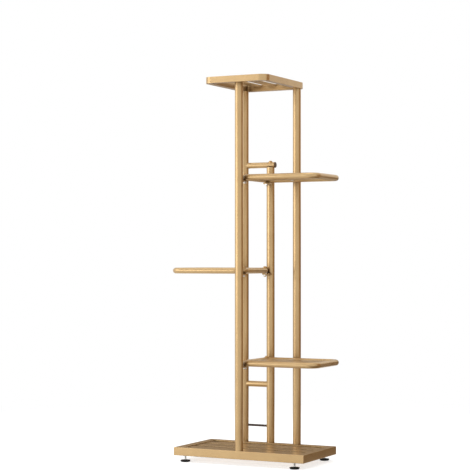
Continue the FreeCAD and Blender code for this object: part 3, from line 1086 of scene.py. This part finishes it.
@dataclass
class SocketScrews:
    """Dome-headed screws with a hexagon socket, in the places of the plain ones.

    Attributes:
        paint: Where the finishes come from.
        shank: Radius of the shank.
        socket: Radius of the socket at its corners.
        reach: Depth of the socket, as a part of the head's height.
        doming: How much of the head's height is rounded.
        dome_steps: Number of steps in that rounding.
        point: Chamfer at the screw's end.
        sides: Number of sides.
        socket_sides: Number of sides of the socket.
        crease_deg: Angle past which an edge stays sharp.
        spin_deg: How much further each screw of a kind is turned than the one before.
        ear_x: Place of the shelf bolts, from the middle of the stand.
        ear_y: Place of the shelf bolts, to the front and to the rear.
        seat_rise: Height of a head's seat over the axis of the tube under it.
        rear_y: Place of the seats of the rear bolts, on the backs of the posts.
        shelf_bolt: The bolts of the ears and of the upper rung.
        rear_bolt: The bolts through the rear posts.
        front_screw: The screw of the top shelf in its middle slat.
        rail_screw: The screws of the top shelf in its rail.
        made: The screws so far.
    """

    paint: Paintbox
    shank: float = 2.98 * MM
    socket: float = 2.0 * MM
    reach: float = 0.62
    doming: float = 0.93
    dome_steps: int = 7
    point: float = 0.6 * MM
    sides: int = 48
    socket_sides: int = 6
    crease_deg: float = 30.0
    spin_deg: float = 37.0
    ear_x: float = 3.068 * MM
    ear_y: float = 75.0 * MM
    seat_rise: float = 10.0 * MM
    rear_y: float = POST_Y + POST_RADIUS
    shelf_bolt: ScrewKind = ScrewKind(5.2 * MM, 3.25 * MM, 30.0 * MM)
    rear_bolt: ScrewKind = ScrewKind(5.2 * MM, 3.25 * MM, 50.0 * MM)
    front_screw: ScrewKind = ScrewKind(4.45 * MM, 1.95 * MM, 15.0 * MM)
    rail_screw: ScrewKind = ScrewKind(4.45 * MM, 1.95 * MM, 30.0 * MM)
    made: list[bpy.types.Object] = field(default_factory=list)

    def build(self) -> list[bpy.types.Object]:
        """Makes each kind of screw once and fits it in its places.

        Returns:
            Every screw.
        """
        ears = [
            (shelf.side * self.ear_x, y, shelf.height + self.seat_rise)
            for shelf in SHELVES
            for y in (-self.ear_y, self.ear_y)
        ]
        rear = [(shelf.side * SIDE_POST_X, self.rear_y, shelf.height) for shelf in SHELVES]
        rung = (0.0, POST_Y, UPPER_RUNG_HEIGHT + self.seat_rise)
        front = (0.0, -POST_Y, TOP_SLAT_HEIGHT)
        rail = [(side * SIDE_POST_X, POST_Y, TOP_RAIL_HEIGHT) for side in (-1, 1)]

        bolt = self.model(self.shelf_bolt)
        self.fit_all(bolt, "shelf_bolts", ears, Facing.UP)
        self.fit(bolt, "rung_bolt", rung, Facing.UP, 0)
        through = self.model(self.rear_bolt)
        self.fit_all(through, "shelf_rear_bolts", rear, Facing.REAR)
        short = self.model(self.front_screw)
        self.fit(short, "top_shelf_screws", front, Facing.UP, 0)
        long = self.model(self.rail_screw)
        self.fit_all(long, "top_shelf_screws", rail, Facing.UP, 1)
        for model in (bolt, through, short, long):
            Bench.discard(model)
        return self.made

    def model(self, kind: ScrewKind) -> bpy.types.Object:
        """Makes one screw along -Z with the underside of its head on z = 0.

        Args:
            kind: Its sizes.

        Returns:
            The screw.
        """
        body = Bench.cylinder(kind.head, 0.0, kind.height, self.sides)
        Bench.select_level(body, True)
        bpy.ops.mesh.bevel(offset=kind.height * self.doming, segments=self.dome_steps, profile=0.5)
        Bench.done()
        Bench.select_level(body, False)
        bpy.ops.mesh.inset(thickness=kind.head - self.shank)
        bpy.ops.mesh.extrude_region_move(TRANSFORM_OT_translate={"value": (0, 0, -kind.length)})
        bpy.ops.mesh.bevel(offset=self.point, segments=1)
        Bench.done()
        bottom = kind.height - self.reach * kind.height
        socket = Bench.cylinder(self.socket, bottom, kind.height + MM, self.socket_sides)
        Bench.cut(body, socket)
        Bench.smooth(body, self.crease_deg)
        return body

    def fit_all(
        self,
        model: bpy.types.Object,
        node: str,
        places: Sequence[Point],
        facing: Facing,
        start: int = 0,
    ) -> None:
        """Puts a copy of a screw in each of its holes.

        Args:
            model: The screw to copy.
            node: The CAD node that they stand for.
            places: Where the undersides of the heads go.
            facing: Which way the heads face.
            start: Number in the first one's name.
        """
        for number, place in enumerate(places, start):
            self.fit(model, node, place, facing, number)

    def fit(
        self,
        model: bpy.types.Object,
        node: str,
        place: Point,
        facing: Facing,
        number: int,
    ) -> None:
        """Puts a copy of a screw in its hole.

        Args:
            model: The screw to copy.
            node: The CAD node that it stands for.
            place: Where the underside of its head goes.
            facing: Which way the head faces.
            number: Number in its name.
        """
        turn = Matrix.Identity(4)
        if facing is Facing.REAR:
            turn = Matrix.Rotation(math.radians(-90.0), 4, "X")
        spin = Matrix.Rotation(math.radians(self.spin_deg * number), 4, "Z")
        screw = Bench.copy(model, f"{node}_socket_{number}", Matrix.Translation(place) @ turn @ spin)
        self.paint.coat(screw, "gold_fastener")
        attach(screw, "stand")
        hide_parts(node)
        self.made.append(screw)


# ------------------------------------------------------------------ studio


@dataclass(frozen=True)
class Lamp:
    """An area light.

    Attributes:
        name: Its name.
        place: Where it stands.
        aim: The point that it faces.
        size: Width and height.
        watts: Power.
    """

    name: str
    place: Point
    aim: Point
    size: Span
    watts: float


@dataclass(frozen=True)
class ReflectionPanel:
    """A glowing panel that only glossy rays see: a painted reflection that shapes the shine of the metal.

    Attributes:
        name: Its name.
        place: Its centre.
        aim: The point that it faces.
        size: Width and height.
        colour: The colour that it glows with, which the metal shows as a painted reflection.
    """

    name: str
    place: Point
    aim: Point
    size: Span
    colour: Point


@dataclass
class Studio:
    """A pale floor, soft light and the camera of the photograph.

    Attributes:
        lens_px: Focal length, in pixels of the photograph.
        image_px: Width and height of the photograph.
        horizon_px: Row of the horizon.
        sensor_mm: Width of the camera's sensor.
        azimuth_deg: How far round to the right the camera stands.
        distance: Its level distance from the stand.
        aside: How far its axis passes the middle of the stand.
        height: Its height.
        fill_colour: Colour of the light from all round.
        fill: Strength of that light.
        floor_radius: Radius of the floor.
        floor_sides: Number of its sides.
        floor_colour: Its colour.
        floor_roughness: Its roughness.
        floor_specular: Its specular level.
        floor_lift: Glow that the camera sees on it, over its lit colour.
        shine_lift: Part of that glow that the metal sees.
        fade: Radii between which the floor turns plain white.
        lamps: The area lights.
        painted_reflections: The glowing panels that paint reflections into the metal.
    """

    lens_px: float = 1520.4
    image_px: float = 470.0
    horizon_px: float = 259.3
    sensor_mm: float = 36.0
    azimuth_deg: float = 26.98
    distance: float = 4.664
    aside: float = 0.0618
    height: float = 0.6187
    fill_colour: Point = (1.0, 0.99, 0.97)
    fill: float = 0.5
    floor_radius: float = 9.0
    floor_sides: int = 64
    floor_colour: Point = (0.93, 0.93, 0.93)
    floor_roughness: float = 0.9
    floor_specular: float = 0.1
    floor_lift: float = 0.66
    shine_lift: float = 0.5
    fade: Span = (0.7, 1.9)
    lamps: tuple[Lamp, ...] = (
        Lamp("key_light", (-3.4, -2.2, 1.8), (0, 0, 0.5), (2.2, 2.8), 27.0),
        Lamp("strip_light", (-2.1, -3.2, 0.78), (0, 0, 0.78), (1.15, 1.3), 13.0),
        Lamp("top_light", (-0.3, -0.4, 3.4), (0, 0, 0.6), (2.4, 2.4), 17.0),
    )
    # painted reflections: glowing panels that only glossy rays see; the pale one dims the shine of the
    # top, the brown ones paint darker shade into the right and lower faces
    painted_reflections: tuple[ReflectionPanel, ...] = (
        ReflectionPanel("front_reflection_panel", (-1.75, -3.43, 2.05), (0, 0, 1.0), (1.6, 1.3), (0.80, 0.79, 0.78)),
        ReflectionPanel("right_reflection_panel", (2.14, 1.09, 1.0), (0, 0, 1.0), (2.6, 2.4), (0.42, 0.24, 0.10)),
        ReflectionPanel("low_back_reflection_panel", (-0.35, 1.97, 0.42), (0, 0, 0.42), (3.8, 0.84), (0.15, 0.09, 0.045)),
        ReflectionPanel("floor_reflection_panel", (1.05, 0.5, 0.002), (1.05, 0.5, 1.0), (1.6, 2.2), (0.20, 0.13, 0.07)),
    )

    def camera(self) -> None:
        """Places the camera where the photograph was taken from."""
        turn = math.radians(self.azimuth_deg)
        ahead = Vector((-math.sin(turn), math.cos(turn), 0.0))
        right = Vector((math.cos(turn), math.sin(turn), 0.0))
        data = bpy.data.cameras.new("camera")
        data.sensor_width = self.sensor_mm
        data.lens = self.lens_px * self.sensor_mm / self.image_px
        data.shift_y = (self.horizon_px - self.image_px / 2) / self.image_px
        camera = bpy.data.objects.new("camera", data)
        spot = -self.distance * ahead - self.aside * right
        camera.location = (spot.x, spot.y, self.height)
        camera.rotation_euler = (math.pi / 2, 0.0, turn)
        bpy.context.scene.collection.objects.link(camera)
        bpy.context.scene.camera = camera

    def light(self, lamp: Lamp) -> None:
        """Adds one area light.

        Args:
            lamp: The light.
        """
        data = bpy.data.lights.new(lamp.name, "AREA")
        data.shape = "RECTANGLE"
        data.size, data.size_y = lamp.size
        data.energy = lamp.watts
        piece = bpy.data.objects.new(lamp.name, data)
        piece.location = lamp.place
        toward = Vector(lamp.aim) - Vector(lamp.place)
        piece.rotation_euler = toward.to_track_quat("-Z", "Y").to_euler()
        bpy.context.scene.collection.objects.link(piece)

    def world(self) -> None:
        """Lights the object evenly and shows white behind it and in its metal."""
        world = bpy.data.worlds.new("studio")
        bpy.context.scene.world = world
        world.use_nodes = True
        nodes = world.node_tree.nodes
        wires = Wiring(world.node_tree)
        wires.give(nodes["Background"], {"Color": self.fill_colour, "Strength": self.fill})
        fill = nodes["Background"].outputs["Background"]
        white = wires.add("ShaderNodeBackground", {"Color": WHITE, "Strength": 1.0})
        shown = {"Fac": wires.seen(), 1: fill, 2: white.outputs["Background"]}
        mix = wires.add("ShaderNodeMixShader", shown)
        wires.give(nodes["World Output"], {"Surface": mix.outputs["Shader"]})

    def floor(self) -> None:
        """Lays a white floor that keeps the shadow of the stand and has no horizon."""
        Bench.clear()
        bpy.ops.mesh.primitive_circle_add(
            vertices=self.floor_sides, radius=self.floor_radius, fill_type="NGON"
        )
        ground = bpy.context.object
        ground.name = "studio_floor"
        material = bpy.data.materials.new("white_floor")
        material.use_nodes = True
        nodes = material.node_tree.nodes
        wires = Wiring(material.node_tree)
        rays = wires.add("ShaderNodeLightPath", {}).outputs
        glow = wires.reckon("MULTIPLY_ADD", rays["Is Glossy Ray"], self.shine_lift, rays["Is Camera Ray"])
        looks = {
            "Base Color": self.floor_colour,
            "Roughness": self.floor_roughness,
            "Specular IOR Level": self.floor_specular,
            "Emission Color": WHITE,
            "Emission Strength": wires.reckon("MULTIPLY", glow, self.floor_lift),
        }
        wires.give(nodes["Principled BSDF"], looks)
        white = wires.add("ShaderNodeEmission", {"Color": WHITE})
        place = wires.add("ShaderNodeTexCoord", {}).outputs["Object"]
        reach = wires.add("ShaderNodeVectorMath", {0: place})
        reach.operation = "LENGTH"
        limits = {"From Min": self.fade[0], "From Max": self.fade[1]}
        fade = wires.add("ShaderNodeMapRange", {"Value": reach.outputs["Value"], **limits})
        fade.interpolation_type = "SMOOTHSTEP"
        far = wires.reckon("MULTIPLY", fade.outputs["Result"], wires.seen())
        lit = nodes["Principled BSDF"].outputs["BSDF"]
        mix = wires.add("ShaderNodeMixShader", {"Fac": far, 1: lit, 2: white.outputs["Emission"]})
        wires.give(nodes["Material Output"], {"Surface": mix.outputs["Shader"]})
        ground.data.materials.append(material)

    def place_reflection_panel(self, reflection: ReflectionPanel) -> None:
        """Stands one glowing panel, seen only in reflections, in its place.

        Args:
            reflection: The panel, a painted reflection.
        """
        Bench.clear()
        bpy.ops.mesh.primitive_grid_add(x_subdivisions=2, y_subdivisions=2, size=1.0)
        panel = bpy.context.object
        panel.name = reflection.name
        toward = Vector(reflection.aim) - Vector(reflection.place)
        turn = toward.to_track_quat("Z", "Y").to_matrix().to_4x4()
        scale = Matrix.Diagonal((*reflection.size, 1.0, 1.0))
        panel.data.transform(Matrix.Translation(reflection.place) @ turn @ scale)
        material = bpy.data.materials.new(reflection.name)
        material.use_nodes = True
        wires = Wiring(material.node_tree)
        glow = wires.add("ShaderNodeEmission", {"Color": reflection.colour})
        wires.give(material.node_tree.nodes["Material Output"], {"Surface": glow.outputs["Emission"]})
        panel.data.materials.append(material)
        # seen only by glossy rays, so its glow shows as a painted reflection
        panel.visible_camera = False
        panel.visible_shadow = False
        panel.visible_diffuse = False
        panel.visible_transmission = False

    def build(self) -> None:
        """Sets up the camera, the light, the floor and the glowing panels that paint reflections into the
        metal.
        """
        self.camera()
        self.world()
        self.floor()
        for lamp in self.lamps:
            self.light(lamp)
        for reflection in self.painted_reflections:
            self.place_reflection_panel(reflection)
        bpy.context.scene.view_settings.view_transform = "Standard"


# ------------------------------------------------------------------ the stand


@dataclass
class PlantStand:
    """The whole object: finishes on the CAD nodes and the pieces modelled here."""

    paint: Paintbox = field(default_factory=Paintbox)

    def dress_nodes(self, frame: dict[str, Any]) -> None:
        """Gives every CAD node the finish of its slot.
        """
        slots = {row["node"]: row["material_slot"] for row in frame["record"]["subparts"]}
        for name, node in frame["nodes"].items():
            self.paint.coat(node, slots[name])
            LOG.info("%s: %s", name, slots[name])

    def build(self, frame: dict[str, Any]) -> None:
        """Dresses the nodes and adds the modelled pieces.
        """
        self.dress_nodes(frame)
        for group in (LevellingStems, FootPads, SocketScrews, WeldBeads):
            for piece in group(self.paint).build():
                LOG.info("made %s", piece.name)


def main() -> None:
    """Builds the stand and its studio."""
    logging.basicConfig(level=logging.INFO, format="%(name)s: %(message)s")
    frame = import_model()
    Studio().build()
    PlantStand().build(frame)


if __name__ == "__main__":
    main()
